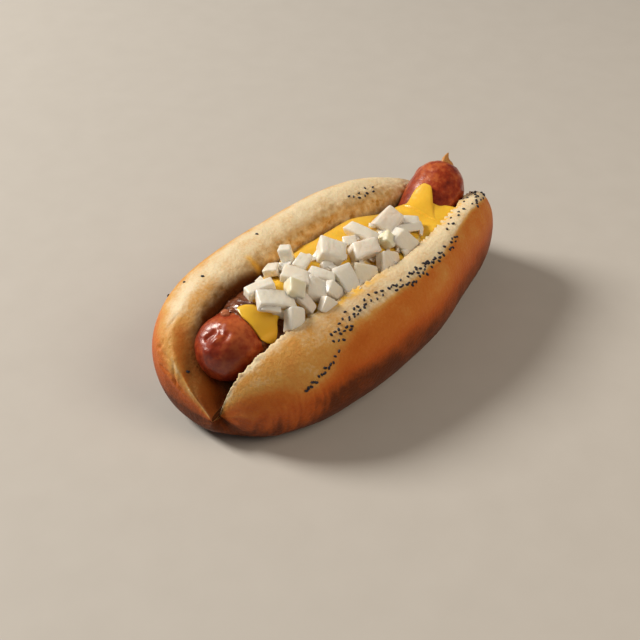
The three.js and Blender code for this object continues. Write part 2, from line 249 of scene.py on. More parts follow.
# %% Numbers on a mesh, and finished pieces
def store(mesh, name, values):
    """Keeps a number for each point on the mesh, for its material to read."""
    layer = mesh.attributes.new(name, "FLOAT", "POINT")
    layer.data.foreach_set("value", np.asarray(values, np.float32))


def add_piece(name, mesh, material, node=None):
    """A finished piece at the origin, riding on the one body of the hot dog."""
    made = placed(name, mesh)
    mesh.materials.clear()
    mesh.materials.append(material)
    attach(made, "root")
    if node:
        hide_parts(node)
    faces = sum(len(p.vertices) - 2 for p in mesh.polygons)
    print(f"{name}: {len(mesh.vertices)} points, {faces} triangles")
    return made


# %% [markdown]
# ## Helpers for finishes
# Every finish is a small graph of nodes that ends in one Principled shader. The helpers
# add one node each and return its output, so that a finish reads from top to bottom like
# a recipe. Patterns read Object coordinates, in metres: a scale of 400 gives spots of
# about 2.5 mm.

# %% Materials and their patterns
def new_finish(name, settings):
    """A new material with its tree and its shader, and constant values on the sockets."""
    material = bpy.data.materials.new(name)
    material.use_nodes = True
    tree = material.node_tree
    shader = tree.nodes["Principled BSDF"]
    for socket, value in settings.items():
        shader.inputs[socket].default_value = value
    return material, tree, shader


def feed(tree, socket, value):
    if isinstance(value, bpy.types.NodeSocket):
        tree.links.new(value, socket)
    else:
        socket.default_value = value


def pattern(tree, kind, scale):
    node = tree.nodes.new(kind)
    node.inputs["Scale"].default_value = scale
    place = tree.nodes.new("ShaderNodeTexCoord")
    tree.links.new(place.outputs["Object"], node.inputs["Vector"])
    return node


def spots(tree, scale, detail=3.0):
    node = pattern(tree, "ShaderNodeTexNoise", scale)
    node.inputs["Detail"].default_value = detail
    return node.outputs["Fac"]


def cells(tree, scale):
    return pattern(tree, "ShaderNodeTexVoronoi", scale).outputs["Distance"]


# %% Numbers and colours of a finish
def stored(tree, name):
    node = tree.nodes.new("ShaderNodeAttribute")
    node.attribute_name = name
    return node.outputs["Fac"]


def reckoned(tree, a, b, operation="ADD", clamp=False):
    node = tree.nodes.new("ShaderNodeMath")
    node.operation = operation
    node.use_clamp = clamp
    feed(tree, node.inputs[0], a)
    feed(tree, node.inputs[1], b)
    return node.outputs[0]


def rescaled(tree, value, low, high, to_low=0.0, to_high=1.0):
    node = tree.nodes.new("ShaderNodeMapRange")
    for socket, end in {"From Min": low, "From Max": high, "To Min": to_low, "To Max": to_high}.items():
        node.inputs[socket].default_value = end
    feed(tree, node.inputs["Value"], value)
    return node.outputs["Result"]


def colour_ramp(tree, value, stops):
    node = tree.nodes.new("ShaderNodeValToRGB")
    ramp = node.color_ramp
    while len(ramp.elements) < len(stops):
        ramp.elements.new(0.5)
    for element, (place, colour) in zip(ramp.elements, stops):
        element.position = place
        element.color = (*colour, 1)
    feed(tree, node.inputs["Fac"], value)
    return node.outputs["Color"]


def blended(tree, share, a, b):
    node = tree.nodes.new("ShaderNodeMix")
    node.data_type = "RGBA"
    feed(tree, node.inputs["Factor"], share)
    feed(tree, node.inputs[6], a if isinstance(a, bpy.types.NodeSocket) else (*a, 1))
    feed(tree, node.inputs[7], b if isinstance(b, bpy.types.NodeSocket) else (*b, 1))
    return node.outputs[2]


def bumped(tree, height, distance, under=None):
    node = tree.nodes.new("ShaderNodeBump")
    node.inputs["Strength"].default_value = 1
    node.inputs["Distance"].default_value = distance
    feed(tree, node.inputs["Height"], height)
    if under is not None:
        tree.links.new(under, node.inputs["Normal"])
    return node.outputs["Normal"]


def surfaced(tree, shader, colour, normal=None):
    """Gives a shader its colour, and the normals of its fine relief."""
    feed(tree, shader.inputs["Base Color"], colour)
    if normal is not None:
        feed(tree, shader.inputs["Normal"], normal)


floor_finish, tree, shader = new_finish("pale_floor", {"Roughness": 0.7})
grain = spots(tree, 60)
surfaced(tree, shader, blended(tree, grain, (0.50, 0.47, 0.43), (0.54, 0.51, 0.47)))
floor.data.materials.append(floor_finish)

# %% [markdown]
# ## The bun's form
# A bun for this kind of hot dog is baked as one loaf, pale where it touched its
# neighbour and brown where it met the heat, then cut nearly through along its top. It
# could be sculpted by hand, but its cross-section changes slowly along its length, so it
# is a loft: eighteen control points give each cross-section, and a closed curve runs
# through them from the floor of the groove, up the cut face of the low half, over its
# rim, down the crust to the underside and back up over the taller half.

# %% Sizes of the bun
BUN_LENGTH = 172
BUN_HALF = BUN_LENGTH / 2
HINGE_Y = -5
TIP_Z = 13
GROOVE_Z = 19
GROOVE_RISE = 7
SETTLE = 1.5
# Each half at five places: x, inner edge y, outermost y, height of the rim, and the heights
# of the torn inner edge, of the crest and of the shoulder as shares of it
LOW_HALF = [
    (-86, -11, -34, 43, 1, 0.93, 0.7), (-42, -15, -43, 44, 1, 0.95, 0.74),
    (8, -23, -46, 45, 0.99, 0.97, 0.79), (50, -20, -39, 45, 0.96, 1, 0.84),
    (86, -16, -36, 49, 0.94, 1, 0.85),
]
TALL_HALF = [
    (*place, 0.94, 1, 0.85)
    for place in (
        (-86, 13, 43, 45), (-42, 14, 46, 48), (8, 14, 42, 49), (50, 7, 38, 48), (86, 4, 30, 44)
    )
]
# Where the inner face of the tall half leans in, at its closed end
LEAN = (-84, -64)
# How squarely the low and the tall half end, at the near end and at the far end
NEAR_POWERS, FAR_POWERS = (3.4, 4.4), (4.5, 3.0)
# How far the low half stands back from the near end, and where that stops
SET_BACK = 4.5
SET_BACK_END = -56
print("bun:", BUN_LENGTH, "mm long")


# %% The control points of a cross-section
def end_round(x, near_power, far_power):
    u = np.abs(np.clip(x / BUN_HALF, -1, 1))
    power = np.where(x < 0, near_power, far_power)
    return (1 - u**power) ** (1 / power)


def groove_floor(x):
    return GROOVE_Z + GROOVE_RISE * eased(25, 80, x)


def half_outline(half, x, rounding, lean):
    inner, outer, rim, edge, crest, shoulder = (along(half, column, x) for column in range(1, 7))
    deep = groove_floor(x)
    width = outer - inner
    top = inner + 0.5 * width

    def face(upright, share):
        return mixed(upright, mixed(HINGE_Y, top, share), lean)

    shape = [
        (face(mixed(HINGE_Y, inner, 0.7), 0.15), mixed(deep, rim, mixed(0.2, 0.15, lean))),
        (face(inner, 0.36), mixed(deep, rim, mixed(0.62, 0.42, lean))),
        (face(inner + 0.12 * width, 0.64), rim * mixed(edge, 0.8, lean)),
        (top, rim * crest),
        (inner + 0.88 * width, rim * shoulder),
        (outer, rim * 0.5),
        (mixed(HINGE_Y, outer, 0.88), rim * 0.17),
        (mixed(HINGE_Y, outer, 0.6), 0 * rim),
    ]
    return [(mixed(HINGE_Y, y, rounding), mixed(TIP_Z, z, rounding)) for y, z in shape]


def bun_outlines(x):
    """The control points of the cross-sections at each x: stations, points, (x, y, z)."""
    low, tall = (end_round(x, *powers) for powers in zip(NEAR_POWERS, FAR_POWERS))
    middle = (low + tall) / 2
    set_back = SET_BACK * (1 - eased(-BUN_HALF, SET_BACK_END, x))
    hinge = np.full(len(x), float(HINGE_Y))
    points = [(x, hinge, mixed(TIP_Z, groove_floor(x), middle))]
    points += [(x + set_back, y, z) for y, z in half_outline(LOW_HALF, x, low, 0)]
    points += [(x, hinge, mixed(TIP_Z, 0, middle))]
    points += [(x, y, z) for y, z in half_outline(TALL_HALF, x, tall, 1 - eased(*LEAN, x))][::-1]
    return np.array(points).transpose(2, 0, 1)


print("control points:", bun_outlines(np.zeros(1)).shape[1])


# %% A smooth closed curve through them
def curve_points(outlines, turns):
    """Points of the closed centripetal curve through each outline, at each turn."""
    count = outlines.shape[1]
    place = count * turns
    index = np.floor(place).astype(int)
    w = (place - index)[None, :, None]
    p = [outlines[:, (index + k) % count] for k in (-1, 0, 1, 2)]
    runs = [p[k + 1] - p[k] for k in range(3)]
    gap = [np.maximum(1e-4, np.sum(run**2, -1, keepdims=True) ** 0.25) for run in runs]
    leave = runs[0] / gap[0] - (p[2] - p[0]) / (gap[0] + gap[1]) + runs[1] / gap[1]
    reach = runs[1] / gap[1] - (p[3] - p[1]) / (gap[1] + gap[2]) + runs[2] / gap[2]
    leave, reach = leave * gap[1], reach * gap[1]
    square = -3 * p[1] + 3 * p[2] - 2 * leave - reach
    cube = 2 * p[1] - 2 * p[2] + leave + reach
    return p[1] + w * (leave + w * (square + w * cube))


def bun_points(x, turns):
    """Points of the bun's skin, for every x with every turn: stations, turns, (x, y, z)."""
    points = curve_points(bun_outlines(x), turns)
    points[..., 2] = np.maximum(0, points[..., 2] - SETTLE)
    return points


# %% Where the bun's grid has its points
BUN_STATIONS = 350
BUN_AROUND = 270


def even_stations(count):
    """Places along the bun, closer together where its ends turn in."""
    fine = -BUN_HALF * np.cos(np.linspace(0, math.pi, 4000))
    side = 42 * end_round(fine, 3.4, 3.6)
    steps = np.hypot(np.diff(fine), np.diff(side))
    length = np.concatenate([[0], np.cumsum(steps)])
    return np.interp(np.linspace(0, length[-1], count + 2)[1:-1], length, fine)


def even_turns(count):
    """Turns round the bun, closer together over the cut faces and rims than below."""
    fine = np.linspace(0, 1, 2000)
    section = curve_points(bun_outlines(np.array([0.0])), fine % 1)[0]
    dense = np.where((fine < 0.31) | (fine > 0.69), 1.9, 1.0)[1:]
    length = np.concatenate([[0], np.cumsum(np.linalg.norm(np.diff(section, axis=0), axis=1) * dense)])
    return np.interp(np.linspace(0, length[-1], count + 1)[:-1], length, fine)


stations, turns = even_stations(BUN_STATIONS), even_turns(BUN_AROUND)
bun_grid = bun_points(stations, turns)
tips = np.array([[side * BUN_HALF, HINGE_Y, TIP_Z - SETTLE] for side in (-1, 1)])
bun_smooth = np.concatenate([bun_grid.reshape(-1, 3), tips])
bun_faces = tube_faces(BUN_STATIONS, BUN_AROUND)
bun_mesh = solid_mesh("bun", bun_smooth, bun_faces)
bun_normals = outward(bun_mesh)
print("bun grid:", BUN_STATIONS, "by", BUN_AROUND, "points")

# %% [markdown]
# ## The bun's skin, crumb and browning
# Three things tell bread from plastic: the torn, porous crumb of the cut faces, the
# ragged edge where the crumb meets the skin, and browning that changes over the loaf.
# Each is worked out as a number at every point of the grid, and some of these numbers also
# darken the bread with painted shade. The relief then moves the points, and the numbers
# stay on the mesh for the finish to read.

# %% Cut faces as a number
place_x = bun_smooth[:, 0]
place_turn = np.concatenate([np.tile(turns, BUN_STATIONS), [0.5, 0.5]])
low_side = place_turn < 0.5
from_groove = np.where(low_side, place_turn, 1 - place_turn)

wander = relief(bun_smooth, 9, 2, seed=1)
ragged = relief(bun_smooth, 2.6, 3, seed=2)
closed_end = eased(-66, -77, place_x) * ~low_side
edge_turn = np.where(low_side, 0.166 + 0.002 * ragged, 0.182 + 0.008 * wander + 0.004 * ragged)
softness = np.where(low_side, 0.004, 0.02)
cut = (1 - eased(edge_turn - softness, edge_turn + softness, from_groove)) * (1 - closed_end)
print("share of the grid that is cut crumb:", round(float(cut.mean()), 2))

# %% Browning and painted shade as a number
# Where the pale skin of the low half ends: x, turn
BROWN_LINE = [
    (-86, 0.22), (-72, 0.262), (-60, 0.288), (-52, 0.28), (-42, 0.252),
    (-30, 0.239), (0, 0.233), (30, 0.239), (58, 0.23), (86, 0.25),
]
TALL_LINE = 0.262
brown_turn = np.where(low_side, along(BROWN_LINE, 1, place_x), TALL_LINE) + 0.004 * wander
blur = np.where(low_side, mixed(0.03, 0.009, eased(-60, -10, place_x)), 0.04)
bake = 0.40 * eased(brown_turn - blur, brown_turn + blur, from_groove)
# The crust browns towards the bottom, and its darkest band at the bottom is partly painted shade
bake += 0.26 * eased(0.27, 0.34, from_groove) + 0.32 * eased(0.335, 0.41, from_groove)

# The near corner is brighter and streaky, and the rim before it is darker: a little toasted, and partly
# painted shade on its side away from the window lamp
streaks = relief(np.stack([place_x, from_groove * 26, 0 * place_x], -1), 1.3, 3, seed=12)
near_corner = eased(-38, -66, place_x) * eased(0.26, 0.31, from_groove) * low_side
bake += near_corner * (0.16 * streaks - 0.2)
rim_toast_and_shade = 0.07 * eased(20, -20, place_x) + 0.16 * eased(-20, -62, place_x)
bake += low_side * eased(0.168, 0.2, from_groove) * rim_toast_and_shade

# The low crust past the corner is the darkest, as painted shade, and the closed end is brown inside,
# darker still deep by the groove as painted shade
bake += 0.25 * eased(-66, -50, place_x) * eased(0.268, 0.33, from_groove) * low_side
bake += closed_end * mixed(0.42, 0.16, eased(0.05, 0.16, from_groove))
bake += 0.2 * eased(-40, -62, place_x) * (1 - eased(0.19, 0.23, from_groove)) * ~low_side
bake = np.clip(bake + 0.05 * wander, 0, 1)
print("browning from", round(float(bake.min()), 2), "to", round(float(bake.max()), 2))

# %% Smears of cheese, and soaked crumb with painted shade, as numbers
smear_places = np.maximum(bell(place_x, -24, 15), bell(place_x, 50, 13))
smear = bell(from_groove, 0.176, 0.011) * low_side * smear_places
drip_run = eased(0.13, 0.16, from_groove) * (1 - eased(0.185, 0.2, from_groove))
drip = bell(place_x, -31, 1.5) * drip_run * ~low_side
sauce = np.clip(1.6 * smear * eased(-0.35, 0.25, ragged) + 0.8 * drip, 0, 1)
# The groove's walls darken towards the groove: partly crumb soaked with sauce, and partly painted shade,
# higher up the tall half towards the near end
soak_and_shade_top = np.where(low_side, 0.15, mixed(0.208, 0.14, eased(-50, -5, place_x))) + 0.006 * wander
soak = eased(soak_and_shade_top, soak_and_shade_top - 0.05, from_groove) * (1 - 0.45 * closed_end)
print("share of the grid that is soaked:", round(float(soak.mean()), 2))

# %% Relief of the crumb, the torn edge and the skin
crumb_size = relief(bun_smooth, 5, 4, seed=3)
pores = pits(bun_smooth, 2.6, seed=4) * eased(-0.2, 0.4, relief(bun_smooth, 6, 2, seed=5))
small_pores = pits(bun_smooth, 1.4, seed=6)
teeth = np.abs(relief(bun_smooth * (1, 0.5, 0.5), 2.3, 4, seed=7))

# Heights in mm: the crumb sinks and is full of pores, its torn edge stands up in teeth,
# and the skin is a little dented and wrinkled
lift = -0.5 * cut * (0.6 + crumb_size)
lift -= cut * (1.1 * pores + 0.35 * small_pores)
tear = np.where(low_side, 0.1 + 1.9 * teeth, 0.6 * teeth)
lift += tear * bell(from_groove, edge_turn, 0.006) * (1 - closed_end)
lift -= 0.35 * (1 - cut) * np.maximum(0, relief(bun_smooth, 24, 2, seed=8) + 0.2)
lift -= 0.06 * (1 - cut) * (1 + relief(bun_smooth, 1.6, 3, seed=9))
lift += 0.35 * relief(bun_smooth, 7, 2, seed=13) * bell(from_groove, 0.21, 0.05) * ~low_side
lift -= 0.16 * near_corner * (streaks + 0.5)

# The skin has folded where the closed end was bent open
CREASES = [
    [(-71, 24, 41), (-76, 24, 38), (-81, 23, 33), (-82, 26, 30)],
    [(-82, 24, 31), (-83.5, 19, 30), (-84, 15.5, 30), (-85, 14.5, 28), (-85.5, 13.5, 21)],
    [(-84, 22, 24.5), (-85.3, 16, 24), (-85.7, 10, 20)],
]
for crease in CREASES:
    away = from_line(bun_smooth, crease) + 0.25 * ragged
    lift += -0.34 * bell(away, 0, 0.6) + 0.18 * bell(away, 1.8, 1.1)

on_floor = bun_smooth[:, 2] < 0.01
lift = np.where(on_floor, 0, lift)
bun_shaped = bun_smooth + bun_normals * lift[:, None]
low_corner, high_corner = (np.array(corner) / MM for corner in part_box("bun"))
bun_shaped = np.clip(bun_shaped, low_corner + 0.05, high_corner - 0.05)
bun_shaped[on_floor, 2] = 0
move_points(bun_mesh, bun_shaped)
numbers = {"cut": cut, "bake": bake, "pores": np.clip(pores, 0, 1), "sauce": sauce, "soak": soak}
for name, values in numbers.items():
    store(bun_mesh, name, values)
print("relief from", round(float(lift.min()), 2), "to", round(float(lift.max()), 2), "mm")

# %% Finish of the bun
CREAM = (0.80, 0.66, 0.43)
GOLD = (0.66, 0.34, 0.085)
TAN = (0.60, 0.18, 0.028)
RUSSET = (0.50, 0.10, 0.010)
# The darkest crust colour is partly painted shade
DARK_CRUST_AND_SHADE = (0.12, 0.024, 0.002)
CRUMB_PALE = (0.78, 0.62, 0.37)
CRUMB_DEEP = (0.50, 0.28, 0.08)
# Soaked crumb, and painted shade in the groove
SOAKED_AND_SHADED = (0.10, 0.026, 0.004)
SAUCE_STAIN = (0.88, 0.50, 0.07)

bun_finish, tree, shader = new_finish(
    "bread_skin_and_crumb",
    {
        "Roughness": 0.55, "Specular IOR Level": 0.25, "Subsurface Weight": 0.12,
        "Subsurface Radius": (1, 0.5, 0.25), "Subsurface Scale": 0.003,
    },
)
mottle = rescaled(tree, spots(tree, 130, 4), 0.3, 0.7, -0.06, 0.06)
fleck = rescaled(tree, spots(tree, 900, 3), 0.35, 0.65, -0.03, 0.03)
# Browning, with painted shade in the darkest crust
baked_and_shaded = reckoned(tree, reckoned(tree, stored(tree, "bake"), mottle), fleck, clamp=True)
skin_colour = colour_ramp(
    tree, baked_and_shaded, [(0.0, CREAM), (0.2, GOLD), (0.42, TAN), (0.7, RUSSET), (1.0, DARK_CRUST_AND_SHADE)]
)
# The crumb's colour varies at random, and it is darker in its pores: painted shade in the hollows
crumb_spots = rescaled(tree, spots(tree, 350, 4), 0.3, 0.7)
crumb_spots_and_pore_shade = reckoned(tree, crumb_spots, stored(tree, "pores"), clamp=True)
crumb_colour = blended(tree, crumb_spots_and_pore_shade, CRUMB_PALE, CRUMB_DEEP)
bread_colour = blended(tree, stored(tree, "cut"), skin_colour, crumb_colour)
# Crumb soaked with sauce, and painted shade deep in the groove
bread_colour = blended(tree, stored(tree, "soak"), bread_colour, SOAKED_AND_SHADED)
bread_colour = blended(tree, stored(tree, "sauce"), bread_colour, SAUCE_STAIN)
feed(tree, shader.inputs["Roughness"], rescaled(tree, stored(tree, "cut"), 0, 1, 0.5, 0.95))
fine = bumped(tree, spots(tree, 2600, 3), 0.00012)
surfaced(tree, shader, bread_colour, bumped(tree, spots(tree, 700, 4), 0.0004, fine))
add_piece("soft_bun", bun_mesh, bun_finish, node="bun")

# %% [markdown]
# ## The poppy seeds
# Some 140 blue-black poppy seeds stick to the pale rims. Each is a kidney-shaped
# grain of little more than a millimetre. Modelling them one by one would be slow work,
# and particles aren't kept when a model is exported. Geometry Nodes put a copy of one
# grain on each of a set of points, turn it out from the skin and vary its size, and then
# make all copies real.

# %% A tree of nodes that scatters copies on points
def scatter_tree(name):
    tree = bpy.data.node_groups.new(name, "GeometryNodeTree")
    inputs = {
        "Geometry": "Geometry", "Grain": "Object", "Smallest": "Float",
        "Largest": "Float", "Random Seed": "Int", "Finish": "Material",
    }
    for label, kind in inputs.items():
        tree.interface.new_socket(label, in_out="INPUT", socket_type="NodeSocket" + kind)
    tree.interface.new_socket("Geometry", in_out="OUTPUT", socket_type="NodeSocketGeometry")

    def made(kind, fed):
        """The outputs of a new node, with links or values on its inputs."""
        node = tree.nodes.new(kind)
        for socket, value in fed.items():
            feed(tree, node.inputs[socket], value)
        return node.outputs

    given = made("NodeGroupInput", {})
    grain = made("GeometryNodeObjectInfo", {"Object": given["Grain"], "As Instance": True})
    out = tree.nodes.new("GeometryNodeInputNamedAttribute")
    out.data_type = "FLOAT_VECTOR"
    out.inputs["Name"].default_value = "outward"
    stand = tree.nodes.new("FunctionNodeAlignRotationToVector")
    stand.axis = "Z"
    feed(tree, stand.inputs["Vector"], out.outputs["Attribute"])
    angle = made("FunctionNodeRandomValue", {3: 2 * math.pi, "Seed": given["Random Seed"]})
    spin = made("FunctionNodeAxisAngleToRotation", {"Axis": (0, 0, 1), "Angle": angle[1]})
    turned = tree.nodes.new("FunctionNodeRotateRotation")
    turned.rotation_space = "LOCAL"
    feed(tree, turned.inputs["Rotation"], stand.outputs["Rotation"])
    feed(tree, turned.inputs["Rotate By"], spin["Rotation"])
    limits = {2: given["Smallest"], 3: given["Largest"], "Seed": given["Random Seed"]}
    size = made("FunctionNodeRandomValue", limits)
    laid = {"Points": given["Geometry"], "Instance": grain["Geometry"], "Scale": size[1]}
    copies = made("GeometryNodeInstanceOnPoints", {**laid, "Rotation": turned.outputs["Rotation"]})
    real = made("GeometryNodeRealizeInstances", {"Geometry": copies["Instances"]})
    painted = made("GeometryNodeSetMaterial", {"Geometry": real["Geometry"], "Material": given["Finish"]})
    made("NodeGroupOutput", {"Geometry": painted["Geometry"]})
    return tree


SCATTER = scatter_tree("copies_on_points")


def scattered(name, points, directions, grain_mesh, sizes, seed, material):
    """A plain mesh of real copies of a grain, one on each point, standing on its direction."""
    cloud = bpy.data.meshes.new(name + "_points")
    cloud.from_pydata((points * MM).tolist(), [], [])
    layer = cloud.attributes.new("outward", "FLOAT_VECTOR", "POINT")
    layer.data.foreach_set("vector", np.asarray(directions, np.float32).ravel())
    carrier = placed(name + "_carrier", cloud)
    grain = placed(name + "_grain", grain_mesh)
    modifier = carrier.modifiers.new("scatter", "NODES")
    modifier.node_group = SCATTER
    values = {"Grain": grain, "Random Seed": seed, "Finish": material}
    values["Smallest"], values["Largest"] = sizes
    for item in SCATTER.interface.items_tree:
        if item.in_out == "INPUT" and item.name in values:
            modifier[item.identifier] = values[item.name]
    evaluated = carrier.evaluated_get(bpy.context.evaluated_depsgraph_get())
    mesh = bpy.data.meshes.new_from_object(evaluated)
    mesh.name = name
    for made in (carrier, grain):
        bpy.data.objects.remove(made)
    return mesh


# %% One poppy seed, and where the seeds lie
SEED_LIFT = 0.12
SEED_SIZES = (1.25, 1.75)
# Stretches of seeds: how many, from x to x, from turn to turn, spread in turns
SEED_STRETCHES = [
    (13, -64, -47, 0.282, 0.257, 0.003),
    (22, -45, -26, 0.241, 0.21, 0.012),
    (10, -26, -11, 0.208, 0.213, 0.008),
    (34, -9, 16, 0.219, 0.23, 0.012),
    (12, 14, 26, 0.232, 0.236, 0.009),
    (9, 28, 40, 0.238, 0.238, 0.008),
    (7, 38, 58, 0.202, 0.197, 0.012),
    (18, 62, 79, 0.212, 0.212, 0.03),
    (9, 30, 46, 0.822, 0.812, 0.014),
    (3, -62, -48, 0.715, 0.79, 0.01),
    (1, -18, -17, 0.78, 0.78, 0),
    (1, -83, -82, 0.833, 0.833, 0),
]


def random_source(seed):
    """Repeatable random numbers from 0 to 1, the same ones as in the part's source."""
    state = seed
    while True:
        state = (state * 1664525 + 1013904223) % 2**32
        yield state / 2**32


def seed_places():
    draw = random_source(7)
    found = []
    for count, start_x, end_x, start_turn, end_turn, spread in SEED_STRETCHES:
        for i in range(count):
            share = (i + 0.2 + 0.6 * next(draw)) / count
            turn = mixed(start_turn, end_turn, share) + spread * (2 * next(draw) - 1)
            found.append((mixed(start_x, end_x, share), turn))
    return found


def on_bun(x, turn):
    """The nearest point of the shaped bun to a place of its smooth form, and its normal."""
    target = bun_points(np.array([float(x)]), np.array([turn % 1]))[0, 0]
    nearest = np.argmin(np.sum((bun_shaped - target) ** 2, 1))
    return bun_shaped[nearest], bun_normals[nearest]


def poppy_seed():
    """A kidney-shaped grain 1 mm long: a ball, flattened, with a dent in one side."""
    shape = bmesh.new()
    bmesh.ops.create_icosphere(shape, subdivisions=2, radius=0.5)
    for v in shape.verts:
        x, y, z = v.co
        dent = 0.16 * math.exp(-((x / 0.22) ** 2)) * max(0, y / 0.5)
        v.co = (x, 0.74 * y - dent, 0.66 * z)
    mesh = bpy.data.meshes.new("poppy_seed")
    bmesh.ops.scale(shape, verts=shape.verts, vec=(MM, MM, MM))
    shape.to_mesh(mesh)
    shape.free()
    mesh.shade_smooth()
    return mesh


seed_finish, tree, shader = new_finish("poppy_seed_blue_black", {"Roughness": 0.42})
seed_colour = blended(tree, spots(tree, 1500), (0.012, 0.010, 0.016), (0.045, 0.04, 0.055))
surfaced(tree, shader, seed_colour, bumped(tree, cells(tree, 6000), 0.00006))
found = [on_bun(x, turn) for x, turn in seed_places()]
seed_points = np.array([p + SEED_LIFT * n for p, n in found])
seed_normals = np.array([n for _, n in found])
seeds_mesh = scattered(
    "poppy_seeds", seed_points, seed_normals, poppy_seed(), SEED_SIZES, seed=3, material=seed_finish
)
add_piece("poppy_seeds", seeds_mesh, seed_finish)

# %% [markdown]
# ## The frankfurter
# A thick smoked sausage in a natural casing. Its near end is round, with a pucker where
# the casing was tied off and a small wet nub beside it. It sags under its dressing, and
# its far end rides up over the bun and keeps a twisted wisp of casing. It is a loft of
# round rings on a bent centre line. The wrinkles that run into the pucker are drawn on
# the grid, since they catch the
# light, and the pores and spots of the skin belong to the finish.

# %% Sizes and centre line of the frankfurter
FRANK_RADIUS = 13.1
FRANK_TAPER = 0.6
FRANK_START = (-65.5, 3.5, 31)
FRANK_END = (68.6, -4.1, 39.2)
FRANK_SPAN = FRANK_END[0] - FRANK_START[0]
FRANK_SAG = 1.5
FRANK_TURN_UP = 6
DIP_AT, DIP_REACH = 42, 16
DIP_ASIDE, DIP_DEPTH = 4, 7
PUCKER = 1.8
PUCKER_TOWARD = (-0.6, 0.15, 0.79)
PUCKER_WIDTH = 0.45
WISP_AT = (76.4, -3.4, 47.6)
WISP_TIP = (79.5, -2.6, 52.2)
WISP_RADIUS = 1.8
NUB_AT = (-62, 7.3, 43.3)
NUB_RADIUS = 2
SKIN_GAP = 0.35


def frank_line(x):
    """Centre line y and z, radius, and how far x lies past the centre of a round end."""
    t = (x - FRANK_START[0]) / FRANK_SPAN
    s = np.clip(t, 0, 1)
    dip = bell(x, DIP_AT, DIP_REACH)
    y = mixed(FRANK_START[1], FRANK_END[1], s) - DIP_ASIDE * dip
    z = mixed(FRANK_START[2], FRANK_END[2], s**FRANK_TURN_UP)
    z = z - FRANK_SAG * np.sin(math.pi * s) - DIP_DEPTH * dip
    past = np.maximum(0, np.maximum(-t, t - 1)) * FRANK_SPAN
    return y, z, FRANK_RADIUS - FRANK_TAPER * s, past


# %% The frankfurter's grid, with its pucker
FRANK_STATIONS = 230
FRANK_AROUND = 110
frank_reach = FRANK_SPAN / 2 + FRANK_RADIUS
frank_middle = (FRANK_START[0] + FRANK_END[0]) / 2

steps = np.arange(1, FRANK_STATIONS + 1) / (FRANK_STATIONS + 1)
frank_x = frank_middle - frank_reach * np.cos(math.pi * steps)
line_y, line_z, radius, past = frank_line(frank_x)
ring_radius = radius * np.sqrt(1 - (past / FRANK_RADIUS) ** 2)
round_angle = -2 * math.pi * np.arange(FRANK_AROUND) / FRANK_AROUND
frank_points = np.stack(
    [
        np.repeat(frank_x, FRANK_AROUND),
        (line_y[:, None] + ring_radius[:, None] * np.sin(round_angle)).ravel(),
        (line_z[:, None] + ring_radius[:, None] * np.cos(round_angle)).ravel(),
    ],
    -1,
)
frank_ends = [
    (frank_middle - frank_reach, *FRANK_START[1:]),
    (frank_middle + frank_reach, *FRANK_END[1:]),
]
frank_points = np.concatenate([frank_points, frank_ends])

out = frank_points - np.array(FRANK_START)
unit = out / np.linalg.norm(out, axis=1, keepdims=True)
aim = np.array(PUCKER_TOWARD) / np.linalg.norm(PUCKER_TOWARD)
off = np.arccos(np.clip(unit @ aim, -1, 1))
hollow = PUCKER * bell(off, 0, PUCKER_WIDTH)
near_tie = bell(off, 0, 0.55)

# Folds and swellings of the tied end: two directions from its centre, height and width
FOLDS = [
    ((-0.68, 0.32, 0.68), (-0.47, 0.15, 0.87), -0.9, 0.075),
    ((-0.62, 0.12, 0.77), (-0.52, 0.08, 0.85), 0.8, 0.07),
    ((-0.70, -0.06, 0.71), (-0.60, -0.12, 0.79), 1.1, 0.13),
    ((-0.90, 0.02, 0.45), (-0.86, -0.05, 0.52), 0.7, 0.2),
    ((-0.47, -0.34, 0.82), (-0.30, -0.30, 0.91), -0.7, 0.08),
    ((-0.42, -0.12, 0.90), (-0.30, 0.02, 0.95), -0.4, 0.06),
    ((-0.16, 0.10, 0.98), (-0.05, -0.12, 0.99), 0.35, 0.1),
]
wavy = 0.03 * relief(frank_points, 3, 2, seed=14)
folds = np.zeros(len(unit))
for start, end, height, width in FOLDS:
    folds += height * bell(from_line(unit, (start, end)) + wavy, 0, width)
crinkle = 0.22 * relief(frank_points, 1.8, 3, seed=15) * near_tie
swell = 0.22 * relief(frank_points, 8, 2, seed=11) * (1 - near_tie)
far_folds = relief(frank_points * (0.35, 1, 0.5), 2.4, 2, seed=17)
swell += 0.3 * far_folds * eased(58, 68, frank_points[:, 0])
frank_points = frank_points + unit * (folds + crinkle - hollow)[:, None]
frank_mesh = solid_mesh("frankfurter", frank_points, tube_faces(FRANK_STATIONS, FRANK_AROUND))
raise_skin(frank_mesh, frank_points, swell)
# A darker patch on the side of the near end that faces away from the window lamp: painted shade
flank = bell(np.linalg.norm(unit - (-0.55, -0.75, 0.3), axis=1), 0, 0.55)
# Darker round the tie, least on its raised folds, so most in its hollows: painted shade
store(frank_mesh, "tie", np.clip(near_tie - 0.4 * np.maximum(0, folds), 0, 1))
store(frank_mesh, "flank", flank)
print("frankfurter pucker", round(float(hollow.max()), 2), "mm deep")

